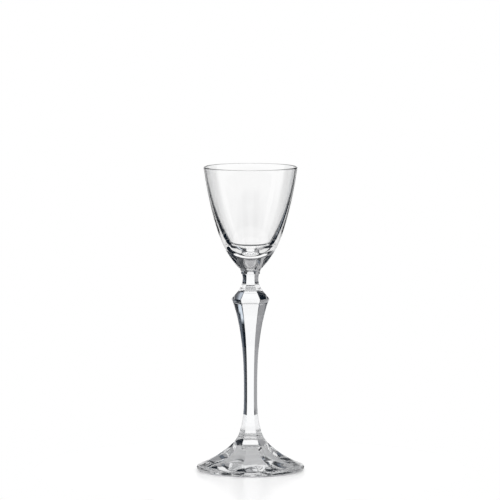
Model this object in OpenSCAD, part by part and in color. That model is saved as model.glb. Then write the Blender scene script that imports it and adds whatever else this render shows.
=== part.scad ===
// Stemmed cordial glass in clear glass, standing on its foot.
// Four pieces of glass are fused hot, face to face: a thin round bowl, a short round collar,
// a six-sided stem with a belted knop, and a flared foot that is hollow and fluted beneath.
// Lengths are in millimetres. The origin is the middle of the flat ring that it stands on.

/* [Glass] */
// Height from the table to the rim
glass_h = 183; // [160:1:210]

/* [Bowl] */
// Outer diameter at the rim
rim_d = 56.3; // [48:0.1:66]
// Height of the bowl above the collar
bowl_h = 61.3; // [50:0.1:75]
// Thickness of the wall at the rim
rim_wall = 1; // [0.7:0.05:1.6]
// Thickness of the glass under the inside of the bowl
bowl_base = 9.6; // [7:0.1:13]

/* [Collar] */
// Height of the round collar between the bowl and the stem
collar_h = 3.1; // [2:0.1:5]
// Diameter of the collar where the bowl sits on it
collar_top_d = 13; // [11:0.1:16]
// Diameter of the collar where it sits on the stem
collar_base_d = 11.2; // [10.4:0.1:13]

/* [Stem] */
// Width across the corners at the top of the neck
neck_d = 10.1; // [8:0.1:10.4]
// Height of the neck, from the knop's shoulder to the collar
neck_h = 10.4; // [7:0.1:15]
// Width across the corners where the neck meets the shoulder
shoulder_d = 14.9; // [12:0.1:18]
// Height of the sloping shoulder
shoulder_h = 4.5; // [3:0.1:7]
// Width across the corners of the knop's belt
knop_d = 22.5; // [19:0.1:28]
// Height of the knop's belt
belt_h = 1.5; // [0.8:0.1:3]
// Step in from the belt to the taper below it
belt_step = 0.45; // [0.2:0.05:1]
// Width across the corners at the thinnest place of the stem
waist_d = 8; // [6.5:0.1:10]
// Radius that fire polishing leaves on the corners of the knop
polish_r = 1.6; // [0.6:0.1:2.4]

/* [Foot] */
// Outer diameter of the foot
foot_d = 64.8; // [56:0.1:76]
// Height of the foot, up to its joint with the stem
foot_h = 20.5; // [16:0.1:28]
// Width across the corners where the foot meets the stem
foot_top_d = 15.1; // [12:0.1:18]
// Height of the rounded edge of the foot
edge_h = 3; // [2:0.1:4]
// Outer diameter of the flat ring that touches the table
ring_d = 62.9; // [54:0.1:63.4]

/* [Underside] */
// Diameter of the hollow under the foot
hollow_d = 54; // [44:0.1:56]
// Depth of the hollow under the foot
hollow_h = 14.6; // [10:0.1:15]
// Width across the corners of the flat crown at the top of the hollow
crown_d = 18; // [12:0.1:20]
// Number of flat facets around the hollow
facets = 8; // [6:1:12]
// Turn of the facets' corners from the stem's corners, in degrees
facet_turn = 15; // [0:7.5:45]

/* [Hidden] */

sides = 6;
turn = 360;
corner_span = turn / sides;
// Steps of the curves, of the stem's corners and of the foot's corners
curve_steps = 12;
stem_corner_steps = 6;
foot_corner_steps = 12;
$fn = 96;

rim_r = rim_d / 2;
collar_r = collar_top_d / 2;
knop_r = knop_d / 2;
waist_r = waist_d / 2;
foot_r = foot_d / 2;
hollow_r = hollow_d / 2;
crown_r = crown_d / 2;
// The crown stays under this share of the foot's height, so that glass is left above it
crown_z = min(hollow_h, foot_h * 0.75);

// Levels of the joints and of the knop above the table
collar_z = glass_h - bowl_h - collar_h;
shoulder_z = collar_z - neck_h;
belt_z = shoulder_z - shoulder_h;
taper_z = belt_z - belt_h;
taper_h = taper_z - foot_h;
// The thinnest place of the stem, as a share of the long taper from the foot to the belt
waist_share = 0.337;
waist_z = foot_h + taper_h * waist_share;

// Control points of the curves. Each pair is a share of the width and of the height
// between the two ends of its curve, or of the full size where the comment says so.
// Outside of the bowl, as shares of the rim's radius and of the bowl's height
bowl_outer_shares = [[1, 1], [0.935, 0.745], [0.734, 0.368], [0.578, 0.223]];
// Rounding of the bowl into the collar, as the same shares, ending at the collar's radius
bowl_under_shares = [[0.506, 0.156], [0.325, 0.036]];
// Inside of the bowl, as shares of the rim's inner radius and of the inside's depth
bowl_inner_shares = [[1, 1], [0.912, 0.687], [0.696, 0.318], [0.497, 0.143]];
// Inside bottom of the bowl, as the same shares
bowl_bottom_shares = [[0.42, 0.074], [0.24, 0], [0, 0]];
// Neck: shares of the neck's height, and of the shoulder's half width
neck_shares = [[0.577, 0.673], [0.658, 0.327]];
// Long taper, from the waist up to the belt: shares of the way from one to the other
taper_shares = [[0, 0.432], [0.23, 0.721]];
// Flare, from the waist down to the foot's joint: the same kind of shares
flare_shares = [[0, 0.349], [0.011, 0.729]];
// Flare of the foot, from the joint out to its edge: the same kind of shares
foot_shares = [[0.126, 0.375], [0.693, 0.839]];
// Rounded edge of the foot: shares of the edge's height, and of the foot's radius
edge_shares = [[1.006, 0.86], [1.012, 0.3]];
edge_top_share = 0.985;
// Profile of the hollow: shares of the way out from the crown's edge, and of the hollow's depth
hollow_shares = [[0, 1], [0, 0.3], [0.5, 0.15], [1, 0]];
// How late the facets fade into the hollow's round edge
facet_fade = 8;

function mix(a, b, t) = a + (b - a) * t;
function bezier(p, t) =
    pow(1 - t, 3) * p[0] + 3 * t * pow(1 - t, 2) * p[1] + 3 * t * t * (1 - t) * p[2] + pow(t, 3) * p[3];
// A curve from its first point up to, but not with, its last one
function curve(p, steps) = [for (i = [0 : steps - 1]) bezier(p, i / steps)];
function scaled(shares, w, h, base = 0) = [for (s = shares) [s[0] * w, base + s[1] * h]];
// Points on the way from one end [radius, height] to the other
function between(shares, start, end) =
    [for (s = shares) [mix(start[0], end[0], s[0]), mix(start[1], end[1], s[1])]];

// Corner radius of the six-sided glass, which grows with its width
function corner_r(r) = polish_r * pow(r / knop_r, 2);
// One rounded hexagon with its corners along X. r reaches the corners and f is their radius.
function ring(r, f, z, steps) = [
    for (k = [0 : sides - 1], j = [0 : steps - 1])
        let (mid = k * corner_span, a = mid + ((j + 0.5) / steps - 0.5) * corner_span)
        [(r - f) * cos(mid) + f * cos(a), (r - f) * sin(mid) + f * sin(a), z]
];

// A closed skin over rings of n points each, from the lowest ring to the highest
module skin(rings, n, low_mid, high_mid) {
    count = len(rings);
    points = concat([low_mid], [for (r = rings, p = r) p], [high_mid]);
    last = len(points) - 1;
    function at(i, j) = 1 + i * n + j % n;
    polyhedron(points, concat(
        [for (j = [0 : n - 1]) [0, at(0, j), at(0, j + 1)]],
        [for (i = [0 : count - 2], j = [0 : n - 1]) [at(i, j), at(i + 1, j), at(i + 1, j + 1)]],
        [for (i = [0 : count - 2], j = [0 : n - 1]) [at(i, j), at(i + 1, j + 1), at(i, j + 1)]],
        [for (j = [0 : n - 1]) [last, at(count - 1, j + 1), at(count - 1, j)]]
    ), convexity = 6);
}

// Half of the bowl's section: down the outside, across the joint and up the inside
function bowl_section() =
    let (
        inner_r = rim_r - rim_wall,
        lip_r = rim_wall / 2,
        lip_z = bowl_h - lip_r,
        inner_h = lip_z - bowl_base,
        outer = scaled(bowl_outer_shares, rim_r, lip_z),
        under = concat([outer[3]], scaled(bowl_under_shares, rim_r, lip_z), [[collar_r, 0]]),
        inner = scaled(bowl_inner_shares, inner_r, inner_h, bowl_base),
        bottom = concat([inner[3]], scaled(bowl_bottom_shares, inner_r, inner_h, bowl_base)),
        inside = concat(curve(inner, curve_steps), curve(bottom, curve_steps), [[0, bowl_base]]),
        lip = [for (i = [1 : curve_steps / 2 - 1])
            let (a = i / curve_steps * turn)
            [rim_r - lip_r - lip_r * cos(a), lip_z + lip_r * sin(a)]]
    )
    concat(
        curve(outer, curve_steps), curve(under, curve_steps), [[collar_r, 0], [0, 0]],
        [for (i = [len(inside) - 1 : -1 : 0]) inside[i]], lip
    );

module bowl() {
    color([0.87, 0.91, 0.93, 0.5])
        translate([0, 0, collar_z + collar_h])
        rotate_extrude()
        polygon(bowl_section());
}

// Short band of glass that joins the round bowl to the six-sided stem
module collar() {
    base_r = collar_base_d / 2;
    outline = [
        [collar_r, collar_h],
        [mix(collar_r, base_r, 0.8), collar_h * 0.6],
        [mix(collar_r, base_r, 0.9), collar_h * 0.3],
        [base_r, 0]
    ];
    color([0.93, 0.88, 0.88, 0.5])
        translate([0, 0, collar_z])
        rotate_extrude()
        polygon(concat([[0, collar_h]], curve(outline, curve_steps), [[base_r, 0], [0, 0]]));
}

// Stem outline at its corners, from the foot's joint up to the collar
function stem_outline() =
    let (
        foot_top = [foot_top_d / 2, foot_h],
        waist = [waist_r, waist_z],
        taper_top = [knop_r - belt_step, taper_z],
        shoulder = [shoulder_d / 2, shoulder_z],
        neck = [neck_d / 2, collar_z],
        flare = between(flare_shares, waist, foot_top),
        taper = between(taper_shares, waist, taper_top),
        necking = [for (s = neck_shares) [shoulder[0] * s[0], shoulder_z + neck_h * s[1]]]
    )
    concat(
        curve([foot_top, flare[1], flare[0], waist], curve_steps),
        curve([waist, taper[0], taper[1], taper_top], 2 * curve_steps),
        [taper_top, [knop_r, taper_z + belt_step / 2], [knop_r, belt_z]],
        curve([shoulder, necking[1], necking[0], neck], curve_steps),
        [neck]
    );

module stem() {
    outline = stem_outline();
    rings = [for (p = outline) ring(p[0], corner_r(p[0]), p[1], stem_corner_steps)];
    color([0.85, 0.90, 0.93, 0.5])
        skin(rings, sides * stem_corner_steps, [0, 0, foot_h], [0, 0, collar_z]);
}

// Foot outline at its corners, from the table ring up to the joint with the stem
function foot_outline() =
    let (
        top = [foot_top_d / 2, foot_h],
        edge = [foot_r * edge_top_share, edge_h],
        base = [ring_d / 2, 0],
        flare = between(foot_shares, top, edge),
        rounding = scaled(edge_shares, foot_r, edge_h)
    )
    concat(
        curve([base, rounding[1], rounding[0], edge], curve_steps / 2),
        curve([edge, flare[1], flare[0], top], curve_steps),
        [top]
    );

// The corners fade as the foot widens, until its edge is a full circle
function foot_corner_r(r) =
    let (top_r = foot_top_d / 2, u = min(1, max(0, (r - top_r) / (foot_r * edge_top_share - top_r))))
    r * mix(corner_r(r) / r, 1, u * u);

// How far out a flat facet lies in this direction, as a share of the distance to its corners
function facet_share(a) =
    let (pitch = turn / facets, off = (a + facet_turn + turn) % pitch)
    cos(pitch / 2) / cos(off - pitch / 2);

// One ring of the faceted hollow, at a place on its profile. The facets fade into its round edge.
function hollow_ring(p, n) = [
    for (i = [0 : n - 1])
        let (
            a = (i + 0.5) * turn / n - corner_span / 2,
            r = mix(crown_r, hollow_r, p[0]) * mix(facet_share(a), 1, pow(p[0], facet_fade))
        )
        [r * cos(a), r * sin(a), p[1] * crown_z]
];

module foot() {
    n = sides * foot_corner_steps;
    inside = [for (p = curve(hollow_shares, curve_steps)) hollow_ring(p, n)];
    edge = hollow_ring(hollow_shares[3], n);
    outside = [for (p = foot_outline()) ring(p[0], foot_corner_r(p[0]), p[1], foot_corner_steps)];
    color([0.85, 0.90, 0.93, 0.5])
        skin(concat(inside, [edge], outside), n, [0, 0, crown_z], [0, 0, foot_h]);
}

bowl();
collar();
stem();
foot();
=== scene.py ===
"""Cordial glass in clear glass, dressed over its CAD frame, with a studio floor, sky and camera."""
import math

import bpy
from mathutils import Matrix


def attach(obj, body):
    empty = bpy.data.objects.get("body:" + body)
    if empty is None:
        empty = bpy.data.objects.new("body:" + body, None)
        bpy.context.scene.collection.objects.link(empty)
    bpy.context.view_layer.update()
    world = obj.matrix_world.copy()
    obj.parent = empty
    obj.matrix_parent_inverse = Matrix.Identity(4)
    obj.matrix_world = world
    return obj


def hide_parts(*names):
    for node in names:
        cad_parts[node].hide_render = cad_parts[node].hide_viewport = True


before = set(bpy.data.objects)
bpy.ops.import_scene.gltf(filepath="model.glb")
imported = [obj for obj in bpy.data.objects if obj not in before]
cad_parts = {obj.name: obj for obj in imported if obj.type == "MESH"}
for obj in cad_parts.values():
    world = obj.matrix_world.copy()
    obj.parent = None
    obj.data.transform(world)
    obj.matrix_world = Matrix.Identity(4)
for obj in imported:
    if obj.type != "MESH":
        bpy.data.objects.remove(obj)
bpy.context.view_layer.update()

MM = 0.001
BODY = "root"

# Glass
IOR = 1.52
MOST_ROUGHNESS = 0.02
WAVE_DEPTH = 0.02 * MM
BOWL_TINT = (1.0, 1.0, 1.0)
BOWL_WAVES = 40
STEM_TINT = (0.99, 0.995, 1.0)
STEM_WAVES = 90

# Real sizes of the glass in metres, the same ones as the CAD source
GLASS_H = 183 * MM
RIM_R = 56.3 / 2 * MM
BOWL_H = 61.3 * MM
RIM_WALL = 1.0 * MM
BOWL_BASE = 9.6 * MM
COLLAR_H = 3.1 * MM
COLLAR_TOP_R = 13.0 / 2 * MM
COLLAR_BASE_R = 11.2 / 2 * MM
NECK_R = 10.1 / 2 * MM
NECK_H = 10.4 * MM
SHOULDER_R = 14.9 / 2 * MM
SHOULDER_H = 4.5 * MM
KNOP_R = 22.5 / 2 * MM
BELT_H = 1.5 * MM
BELT_STEP = 0.45 * MM
WAIST_R = 8.0 / 2 * MM
WAIST_SHARE = 0.337
POLISH_R = 1.6 * MM
FOOT_R = 64.8 / 2 * MM
FOOT_H = 20.5 * MM
FOOT_TOP_R = 15.1 / 2 * MM
EDGE_H = 3.0 * MM
RING_R = 62.9 / 2 * MM
HOLLOW_R = 54.0 / 2 * MM
HOLLOW_H = 14.6 * MM
CROWN_R = 18.0 / 2 * MM
FACETS = 8
FACET_TURN = math.radians(15)
SIDES = 6

COLLAR_Z = GLASS_H - BOWL_H - COLLAR_H
SHOULDER_Z = COLLAR_Z - NECK_H
BELT_Z = SHOULDER_Z - SHOULDER_H
TAPER_Z = BELT_Z - BELT_H
WAIST_Z = FOOT_H + (TAPER_Z - FOOT_H) * WAIST_SHARE

# Shares of the curves' control points, as in the CAD source
BOWL_OUTER = [(1, 1), (0.935, 0.745), (0.734, 0.368), (0.578, 0.223)]
BOWL_UNDER = [(0.506, 0.156), (0.325, 0.036)]
BOWL_INNER = [(1, 1), (0.912, 0.687), (0.696, 0.318), (0.497, 0.143)]
BOWL_BOTTOM = [(0.42, 0.074), (0.24, 0), (0, 0)]
COLLAR_SHARES = [(0.8, 0.6), (0.9, 0.3)]
NECK_SHARES = [(0.577, 0.673), (0.658, 0.327)]
TAPER_SHARES = [(0, 0.432), (0.23, 0.721)]
FLARE_SHARES = [(0, 0.349), (0.011, 0.729)]
FOOT_SHARES = [(0.126, 0.375), (0.693, 0.839)]
EDGE_TOP_SHARE = 0.985
HOLLOW_SHARES = [(0, 1), (0, 0.3), (0.5, 0.15), (1, 0)]
FACET_FADE = 8
# The foot's edge is drawn in by a hair, so that this finer mesh stays inside the CAD model's box
EDGE_SHARES = [(1.0044, 0.86), (1.0104, 0.3)]
# Swell of the stem's flats as a share of their width, and the height over which it fades at the joints
BULGE_SHARE = 0.008
BULGE_RISE = 8 * MM
# Small radius on the sharp edges of the stem and foot, cut where the outline turns by more than EDGE_TURN
EDGE_RADIUS = 0.35 * MM
EDGE_TURN = math.radians(12)
EDGE_STEPS = 4
EDGE_REACH = 0.45

# Fineness of the meshes
ROUND_STEPS = 240
FOOT_STEPS = 360
CROWN_RINGS = 12
CURVE_STEPS = 48
LIP_STEPS = 10
RING_SPACING = 0.6 * MM


# Curves

def mix(a, b, t):
    return a + (b - a) * t


def bezier(p, t):
    """A point at t on the cubic curve with these four control points."""
    s = 1 - t
    weights = (s ** 3, 3 * t * s * s, 3 * t * t * s, t ** 3)
    return tuple(sum(w * q[i] for w, q in zip(weights, p)) for i in (0, 1))


def curve(p, steps):
    """The curve's points, without its last one."""
    return [bezier(p, i / steps) for i in range(steps)]


def scaled(shares, width, height, base=0.0):
    return [(s[0] * width, base + s[1] * height) for s in shares]


def between(shares, start, end):
    return [(mix(start[0], end[0], s[0]), mix(start[1], end[1], s[1])) for s in shares]


# Rings and skins

def circle(r, z, n=ROUND_STEPS):
    return [(r * math.cos(2 * math.pi * (i + 0.5) / n - math.pi / SIDES),
             r * math.sin(2 * math.pi * (i + 0.5) / n - math.pi / SIDES), z) for i in range(n)]


def corner_r(r):
    """Radius that fire polishing leaves on the corners, which grows with the glass's width."""
    return POLISH_R * (r / KNOP_R) ** 2


def corner_point(corner, a, r, f):
    """The point in direction a on the round corner that stands in the direction of corner."""
    return ((r - f) * math.cos(corner) + f * math.cos(a), (r - f) * math.sin(corner) + f * math.sin(a))


def hexagon(r, f, z, n=ROUND_STEPS):
    """One rounded hexagon with its corners along X. r reaches the corners and f is their radius."""
    steps = n // SIDES
    span = 2 * math.pi / SIDES
    points = []
    for k in range(SIDES):
        for j in range(steps):
            a = k * span + ((j + 0.5) / steps - 0.5) * span
            points.append((*corner_point(k * span, a, r, f), z))
    return points


def add_object(name, mesh):
    added = bpy.data.objects.new(name, mesh)
    bpy.context.collection.objects.link(added)
    return added


def skin(name, rings, low, high, joints=()):
    """A closed smooth mesh over the rings. The bands in joints are faces fused to a neighbour.

    Band 0 joins the lowest middle point to the first ring, band i joins ring i - 1 to ring i.
    """
    n = len(rings[0])
    points = [low] + [p for ring in rings for p in ring] + [high]
    last = len(points) - 1
    faces = []
    slots = []

    def at(i, j):
        return 1 + i * n + j % n

    for j in range(n):
        faces.append((0, at(0, j + 1), at(0, j)))
        slots.append(0 in joints)
    for i in range(len(rings) - 1):
        for j in range(n):
            faces.append((at(i, j), at(i, j + 1), at(i + 1, j + 1), at(i + 1, j)))
            slots.append(i + 1 in joints)
    for j in range(n):
        faces.append((last, at(len(rings) - 1, j), at(len(rings) - 1, j + 1)))
        slots.append(len(rings) in joints)
    mesh = bpy.data.meshes.new(name)
    mesh.from_pydata(points, [], faces)
    for polygon, slot in zip(mesh.polygons, slots):
        polygon.use_smooth = True
        polygon.material_index = int(slot)
    mesh.update()
    return add_object(name, mesh)


# Materials

def new_material(name):
    material = bpy.data.materials.new(name)
    material.use_nodes = True
    tree = material.node_tree
    tree.nodes.clear()
    return material, tree, tree.nodes.new("ShaderNodeOutputMaterial")


def glass(name, tint, wave_scale):
    """Clear polished glass with the faint waviness that fire polishing leaves."""
    material, tree, output = new_material(name)
    shader = tree.nodes.new("ShaderNodeBsdfPrincipled")
    shader.inputs["Base Color"].default_value = (*tint, 1)
    shader.inputs["Transmission Weight"].default_value = 1
    shader.inputs["IOR"].default_value = IOR
    place = tree.nodes.new("ShaderNodeTexCoord")
    wave = tree.nodes.new("ShaderNodeTexNoise")
    wave.inputs["Scale"].default_value = wave_scale
    wave.inputs["Detail"].default_value = 1
    bump = tree.nodes.new("ShaderNodeBump")
    bump.inputs["Strength"].default_value = 1
    bump.inputs["Distance"].default_value = WAVE_DEPTH
    tree.links.new(place.outputs["Object"], wave.inputs["Vector"])
    tree.links.new(wave.outputs["Fac"], bump.inputs["Height"])
    tree.links.new(bump.outputs["Normal"], shader.inputs["Normal"])
    polish = tree.nodes.new("ShaderNodeMapRange")
    polish.inputs["To Min"].default_value = 0.0
    polish.inputs["To Max"].default_value = MOST_ROUGHNESS
    tree.links.new(wave.outputs["Fac"], polish.inputs["Value"])
    tree.links.new(polish.outputs["Result"], shader.inputs["Roughness"])
    tree.links.new(shader.outputs["BSDF"], output.inputs["Surface"])
    return material


def fused(name):
    """A joint inside the glass, where light goes straight on."""
    material, tree, output = new_material(name)
    clear = tree.nodes.new("ShaderNodeBsdfTransparent")
    tree.links.new(clear.outputs["BSDF"], output.inputs["Surface"])
    return material


def dress(piece, node, material, joint):
    piece.data.materials.append(material)
    piece.data.materials.append(joint)
    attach(piece, BODY)
    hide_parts(node)


# Pieces

def make_bowl():
    inner_r = RIM_R - RIM_WALL
    lip_r = RIM_WALL / 2
    lip_z = BOWL_H - lip_r
    inner_h = lip_z - BOWL_BASE
    outer = scaled(BOWL_OUTER, RIM_R, lip_z)
    under = [outer[3]] + scaled(BOWL_UNDER, RIM_R, lip_z) + [(COLLAR_TOP_R, 0)]
    inner = scaled(BOWL_INNER, inner_r, inner_h, BOWL_BASE)
    bottom = [inner[3]] + scaled(BOWL_BOTTOM, inner_r, inner_h, BOWL_BASE)
    outside = (curve(outer, 2 * CURVE_STEPS) + curve(under, CURVE_STEPS) + [(COLLAR_TOP_R, 0)])[::-1]
    inside = curve(inner, 2 * CURVE_STEPS) + curve(bottom, CURVE_STEPS)
    lip = []
    for i in range(1, LIP_STEPS):
        a = math.pi * i / LIP_STEPS
        lip.append((RIM_R - lip_r + lip_r * math.cos(a), lip_z + lip_r * math.sin(a)))
    base = COLLAR_Z + COLLAR_H
    rings = [circle(r, base + z) for r, z in outside + lip + inside]
    return skin("bowl_glass", rings, (0, 0, base), (0, 0, base + BOWL_BASE), joints=(0,))


def make_collar():
    outline = [(COLLAR_TOP_R, COLLAR_H)]
    outline += [(mix(COLLAR_TOP_R, COLLAR_BASE_R, s[0]), COLLAR_H * s[1]) for s in COLLAR_SHARES]
    outline += [(COLLAR_BASE_R, 0)]
    side = (curve(outline, CURVE_STEPS) + [outline[3]])[::-1]
    rings = [hexagon(NECK_R, corner_r(NECK_R), COLLAR_Z)]
    rings += [circle(r, COLLAR_Z + z) for r, z in side]
    return skin("collar_glass", rings, (0, 0, COLLAR_Z), (0, 0, COLLAR_Z + COLLAR_H),
                joints=(0, len(rings)))


def stem_outline():
    foot_top = (FOOT_TOP_R, FOOT_H)
    waist = (WAIST_R, WAIST_Z)
    taper_top = (KNOP_R - BELT_STEP, TAPER_Z)
    shoulder = (SHOULDER_R, SHOULDER_Z)
    neck = (NECK_R, COLLAR_Z)
    flare = between(FLARE_SHARES, waist, foot_top)
    taper = between(TAPER_SHARES, waist, taper_top)
    necking = [(SHOULDER_R * s[0], SHOULDER_Z + NECK_H * s[1]) for s in NECK_SHARES]
    points = curve([foot_top, flare[1], flare[0], waist], CURVE_STEPS)
    points += curve([waist, taper[0], taper[1], taper_top], 2 * CURVE_STEPS)
    points += [taper_top, (KNOP_R, TAPER_Z + BELT_STEP / 2), (KNOP_R, BELT_Z)]
    points += curve([shoulder, necking[1], necking[0], neck], CURVE_STEPS)
    points += [neck]
    return points


def rounded(points):
    """The outline with each sharp corner cut into a small arc."""
    done = [points[0]]
    for before, here, after in zip(points, points[1:], points[2:]):
        back = (before[0] - here[0], before[1] - here[1])
        ahead = (after[0] - here[0], after[1] - here[1])
        lb, la = math.hypot(*back), math.hypot(*ahead)
        cosine = (back[0] * ahead[0] + back[1] * ahead[1]) / (lb * la)
        turn = math.pi - math.acos(max(-1, min(1, cosine)))
        if turn < EDGE_TURN:
            done.append(here)
            continue
        reach = EDGE_RADIUS * math.tan(turn / 2)
        b = min(reach, lb * EDGE_REACH) / lb
        a = min(reach, la * EDGE_REACH) / la
        start = (here[0] + back[0] * b, here[1] + back[1] * b)
        end = (here[0] + ahead[0] * a, here[1] + ahead[1] * a)
        for i in range(EDGE_STEPS + 1):
            t = i / EDGE_STEPS
            done.append(tuple((1 - t) ** 2 * start[k] + 2 * t * (1 - t) * here[k] + t * t * end[k]
                              for k in (0, 1)))
    return done + [points[-1]]


def refined(points):
    """The outline with long straight stretches cut into short ones."""
    done = [points[0]]
    for start, end in zip(points, points[1:]):
        parts = max(1, math.ceil(math.dist(start, end) / RING_SPACING))
        done += [(mix(start[0], end[0], i / parts), mix(start[1], end[1], i / parts))
                 for i in range(1, parts + 1)]
    return done


def pressed_hexagon(r, f, z, bulge):
    """A rounded hexagon whose flats swell a little in the middle, as pressed and polished glass does."""
    steps = ROUND_STEPS // SIDES // 2
    span = 2 * math.pi / SIDES
    points = []
    for k in range(SIDES):
        for j in range(steps):
            a = k * span + ((j + 0.5) / steps - 0.5) * span
            points.append((*corner_point(k * span, a, r, f), z))
        out = (k + 0.5) * span
        start = corner_point(k * span, out, r, f)
        end = corner_point((k + 1) * span, out, r, f)
        for j in range(steps):
            t = (j + 0.5) / steps
            swell = bulge * (r - f) * 4 * t * (1 - t)
            points.append((mix(start[0], end[0], t) + swell * math.cos(out),
                           mix(start[1], end[1], t) + swell * math.sin(out), z))
    return points


def make_stem():
    outline = refined(rounded(stem_outline()))
    rings = []
    for r, z in outline:
        bulge = BULGE_SHARE * min(1, (z - FOOT_H) / BULGE_RISE, (COLLAR_Z - z) / BULGE_RISE)
        rings.append(pressed_hexagon(r, corner_r(r), z, bulge))
    return skin("stem_glass", rings, (0, 0, FOOT_H), (0, 0, COLLAR_Z), joints=(0, len(rings)))


def foot_outline():
    top = (FOOT_TOP_R, FOOT_H)
    edge = (FOOT_R * EDGE_TOP_SHARE, EDGE_H)
    base = (RING_R, 0)
    flare = between(FOOT_SHARES, top, edge)
    rounding = scaled(EDGE_SHARES, FOOT_R, EDGE_H)
    points = curve([base, rounding[1], rounding[0], edge], CURVE_STEPS // 2)
    points += curve([edge, flare[1], flare[0], top], 2 * CURVE_STEPS)
    return points + [top]


def foot_corner_r(r):
    """The corners fade as the foot widens, until its edge is a full circle."""
    widest = FOOT_R * EDGE_TOP_SHARE
    u = min(1, max(0, (r - FOOT_TOP_R) / (widest - FOOT_TOP_R)))
    return r * mix(corner_r(r) / r, 1, u * u)


def facet_share(a):
    """How far out a flat facet lies in this direction, as a share of the distance to its corners."""
    pitch = 2 * math.pi / FACETS
    off = (a + FACET_TURN + 2 * math.pi) % pitch
    return math.cos(pitch / 2) / math.cos(off - pitch / 2)


def hollow_ring(r, z, roundness, n):
    """One ring of the hollow. Its roundness goes from 0 for flat facets to 1 for a full circle."""
    points = []
    for i in range(n):
        a = (i + 0.5) * 2 * math.pi / n - math.pi / SIDES
        reach = r * mix(facet_share(a), 1, roundness)
        points.append((reach * math.cos(a), reach * math.sin(a), z))
    return points


def make_foot():
    n = FOOT_STEPS
    crown = [hollow_ring(CROWN_R * i / CROWN_RINGS, HOLLOW_H, 0, n) for i in range(1, CROWN_RINGS + 1)]
    wall = [bezier(HOLLOW_SHARES, i / CURVE_STEPS) for i in range(1, CURVE_STEPS + 1)]
    inside = [hollow_ring(mix(CROWN_R, HOLLOW_R, p[0]), p[1] * HOLLOW_H, p[0] ** FACET_FADE, n)
              for p in wall]
    outside = [hexagon(r, foot_corner_r(r), z, n) for r, z in rounded(foot_outline())]
    rings = crown + inside + outside
    return skin("foot_glass", rings, (0, 0, HOLLOW_H), (0, 0, FOOT_H), joints=(len(rings),))


bowl_look = glass("bowl_clear_glass", BOWL_TINT, BOWL_WAVES)
stem_look = glass("stem_clear_glass", STEM_TINT, STEM_WAVES)
joint_look = fused("fused_joint")
dress(make_bowl(), "bowl", bowl_look, joint_look)
dress(make_collar(), "collar", stem_look, joint_look)
dress(make_stem(), "stem", stem_look, joint_look)
dress(make_foot(), "foot", stem_look, joint_look)


# Studio

BLACK = (0.006, 0.01, 0.016)
SHADE = (0.13, 0.15, 0.18)
GREY = (0.36, 0.36, 0.37)
MIST = (0.48, 0.49, 0.5)
PALE = (0.53, 0.58, 0.65)
SKY = (0.78, 0.86, 0.95)
LIGHT = (0.85, 0.85, 0.85)
WHITE = (1.0, 1.0, 1.0)

# Pale panels stand all round the glass with dark gaps between them. Each reaches from one direction to
# the next, in degrees from straight behind the glass and positive to the right. These pairs stand to
# the left and right of the viewer, from the sides round to the front.
LOW = ([(-180, -170, MIST), (-152, -83, MIST)], [(83, 152, MIST), (170, 180, MIST)])
FRONT = ([(-180, -83, LIGHT)], [(83, 180, LIGHT)])
SOFT_BOXES = ([(-118, -102, WHITE)], [(84, 97, WHITE)])
OVERHEAD = ([(-180, -62, LIGHT)], [(62, 180, LIGHT)])
NOTHING = ([], [])
# Bands of height from the lowest to the highest. Each takes over from the one below it between two
# heights, in degrees above the horizon, and has a pair of panels and those behind the glass.
GROUND = LIGHT
BANDS = [
    (-56, -52, LOW, [(-40, 40, LIGHT)]),
    (-46, -42, LOW, []),
    (-35, -31, FRONT, [(-20, 20, WHITE), (33.5, 36, PALE)]),
    (-24, -20, FRONT, [(-52, -41, GREY), (-20, 20, WHITE), (41.5, 52, SHADE)]),
    (-13, -10, FRONT, [(-52, -24, GREY), (-20, 20, WHITE), (41.5, 52, SHADE)]),
    (-5, -2, FRONT, [(-52, -24, GREY), (-14, 14, WHITE), (41.5, 52, SHADE)]),
    (8, 11, FRONT, [(-52, -24, GREY), (-12, 12, WHITE), (38, 41, SKY), (44, 52, SHADE)]),
    (13, 15, SOFT_BOXES, [(-46, -31, GREY), (-28, -14, SHADE), (-12, 12, GREY), (38, 42.3, SKY)]),
    (22, 24, SOFT_BOXES, [(-46, -31, GREY), (-12, 12, GREY)]),
    (42, 46, NOTHING, []),
    (57, 63, OVERHEAD, [(-60, 60, GREY)]),
]
PANEL_SOFTNESS = 0.75

FLOOR_R = 130 * MM
FLOOR_Z = -0.2 * MM
FLOOR_STEPS = 128
FLOOR_COLOUR = (0.9, 0.9, 0.9)
FLOOR_ROUGHNESS = 0.25
# Extra white in the floor for what sees it, so that it matches the white behind the glass
FLOOR_LIFT = 0.2
# Share of the panels, against plain white, in the light that reaches the floor through the glass
FLOOR_SEES_PANELS = 0.65

CAMERA_LENS = 342.1
CAMERA_PLACE = (-0.0003, -2.835, 0.4097)
CAMERA_TILT = math.radians(90 - 5.576)
FARTHEST = 50

GLASS_BOUNCES = 32
GLOSSY_BOUNCES = 16


def ramp(tree, stops, low, high):
    """A colour ramp through these stops of place and colour."""
    node = tree.nodes.new("ShaderNodeValToRGB")
    elements = node.color_ramp.elements
    elements[0].position = 0
    elements[1].position = 1
    for place, _ in stops[1:-1]:
        elements.new((place - low) / (high - low))
    for element, (_, colour) in zip(elements, stops):
        element.color = (*colour, 1)
    return node


def panels_around(tree, share, panels):
    """One band's panels as a colour socket."""
    stops = []
    for start, end, colour in panels:
        stops.append((start - PANEL_SOFTNESS, BLACK))
        stops.append((start, colour))
        stops.append((end, colour))
        stops.append((end + PANEL_SOFTNESS, BLACK))
    stops = [stop for stop in stops if abs(stop[0]) < 180]
    first = panels[0][2] if panels and panels[0][0] == -180 else BLACK
    last = panels[-1][2] if panels and panels[-1][1] == 180 else BLACK
    around = ramp(tree, [(-180, first)] + stops + [(180, last)], -180, 180)
    tree.links.new(share, around.inputs["Fac"])
    return around.outputs["Color"]


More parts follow.
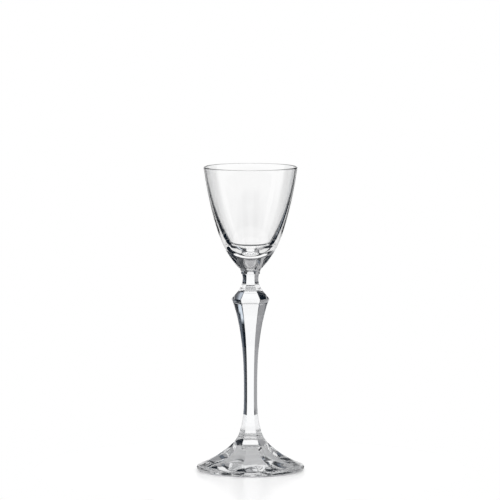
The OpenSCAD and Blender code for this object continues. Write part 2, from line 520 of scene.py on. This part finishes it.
def above(tree, height, low, high, under, over):
    """The colour under a height and the one over it, blended between low and high in degrees."""
    share = tree.nodes.new("ShaderNodeMapRange")
    share.inputs["From Min"].default_value = math.sin(math.radians(low))
    share.inputs["From Max"].default_value = math.sin(math.radians(high))
    tree.links.new(height, share.inputs["Value"])
    both = tree.nodes.new("ShaderNodeMix")
    both.data_type = "RGBA"
    tree.links.new(share.outputs["Result"], both.inputs["Factor"])
    for socket, colour in ((both.inputs[6], under), (both.inputs[7], over)):
        if isinstance(colour, tuple):
            socket.default_value = (*colour, 1)
        else:
            tree.links.new(colour, socket)
    return both.outputs[2]


def seen(tree, rays):
    """1 for rays from the camera, reflections and the glass, which all see the same, and 0 for others."""
    total = rays.outputs["Is Camera Ray"]
    for kind in ("Is Glossy Ray", "Is Transmission Ray"):
        both = tree.nodes.new("ShaderNodeMath")
        both.operation = "ADD"
        both.use_clamp = True
        tree.links.new(total, both.inputs[0])
        tree.links.new(rays.outputs[kind], both.inputs[1])
        total = both.outputs[0]
    return total


def product(tree, a, b):
    """One value times another. b may be a socket or a number."""
    node = tree.nodes.new("ShaderNodeMath")
    node.operation = "MULTIPLY"
    tree.links.new(a, node.inputs[0])
    if isinstance(b, float):
        node.inputs[1].default_value = b
    else:
        tree.links.new(b, node.inputs[1])
    return node.outputs[0]


def make_floor():
    """A round white table top, the same for the camera and the glass."""
    mesh = bpy.data.meshes.new("floor")
    angles = [2 * math.pi * i / FLOOR_STEPS for i in range(FLOOR_STEPS)]
    points = [(FLOOR_R * math.cos(a), FLOOR_R * math.sin(a), FLOOR_Z) for a in angles]
    mesh.from_pydata(points, [], [tuple(range(FLOOR_STEPS))])
    floor = add_object("floor", mesh)
    material, tree, output = new_material("floor_white")
    shader = tree.nodes.new("ShaderNodeBsdfPrincipled")
    shader.inputs["Base Color"].default_value = (*FLOOR_COLOUR, 1)
    shader.inputs["Roughness"].default_value = FLOOR_ROUGHNESS
    shader.inputs["Emission Color"].default_value = (*WHITE, 1)
    lift = product(tree, seen(tree, tree.nodes.new("ShaderNodeLightPath")), FLOOR_LIFT)
    tree.links.new(lift, shader.inputs["Emission Strength"])
    tree.links.new(shader.outputs["BSDF"], output.inputs["Surface"])
    mesh.materials.append(material)


def share_round(tree, axes):
    """The direction round the glass, from 0 at -180 degrees to 1 at 180."""
    angle = tree.nodes.new("ShaderNodeMath")
    angle.operation = "ARCTAN2"
    tree.links.new(axes.outputs["X"], angle.inputs[0])
    tree.links.new(axes.outputs["Y"], angle.inputs[1])
    share = tree.nodes.new("ShaderNodeMapRange")
    share.inputs["From Min"].default_value = -math.pi
    share.inputs["From Max"].default_value = math.pi
    tree.links.new(angle.outputs[0], share.inputs["Value"])
    return share.outputs["Result"]


def background(tree, colour):
    """A background in this colour, which may be a socket."""
    node = tree.nodes.new("ShaderNodeBackground")
    if isinstance(colour, tuple):
        node.inputs["Color"].default_value = (*colour, 1)
    else:
        tree.links.new(colour, node.inputs["Color"])
    return node.outputs["Background"]


def make_sky():
    """The panels, seen alike by the camera, reflections and the glass, and plain white for other light."""
    world = bpy.data.worlds.new("studio")
    bpy.context.scene.world = world
    world.use_nodes = True
    tree = world.node_tree
    tree.nodes.clear()
    place = tree.nodes.new("ShaderNodeTexCoord")
    axes = tree.nodes.new("ShaderNodeSeparateXYZ")
    tree.links.new(place.outputs["Generated"], axes.inputs["Vector"])
    share = share_round(tree, axes)
    whole = GROUND
    for low, high, (left, right), behind in BANDS:
        panels = panels_around(tree, share, left + behind + right)
        whole = above(tree, axes.outputs["Z"], low, high, whole, panels)
    rays = tree.nodes.new("ShaderNodeLightPath")
    from_floor = tree.nodes.new("ShaderNodeMapRange")
    from_floor.inputs["To Min"].default_value = 1
    from_floor.inputs["To Max"].default_value = FLOOR_SEES_PANELS
    tree.links.new(rays.outputs["Diffuse Depth"], from_floor.inputs["Value"])
    both = tree.nodes.new("ShaderNodeMixShader")
    tree.links.new(product(tree, seen(tree, rays), from_floor.outputs["Result"]), both.inputs["Fac"])
    tree.links.new(background(tree, WHITE), both.inputs[1])
    tree.links.new(background(tree, whole), both.inputs[2])
    output = tree.nodes.new("ShaderNodeOutputWorld")
    tree.links.new(both.outputs["Shader"], output.inputs["Surface"])


def make_camera():
    data = bpy.data.cameras.new("camera")
    data.lens = CAMERA_LENS
    data.clip_end = FARTHEST
    camera = add_object("camera", data)
    camera.location = CAMERA_PLACE
    camera.rotation_euler = (CAMERA_TILT, 0, 0)
    bpy.context.scene.camera = camera


make_floor()
make_sky()
make_camera()

scene = bpy.context.scene
scene.view_settings.view_transform = "Standard"
scene.cycles.max_bounces = GLASS_BOUNCES
scene.cycles.transmission_bounces = GLASS_BOUNCES
scene.cycles.glossy_bounces = GLOSSY_BOUNCES
scene.cycles.transparent_max_bounces = GLASS_BOUNCES
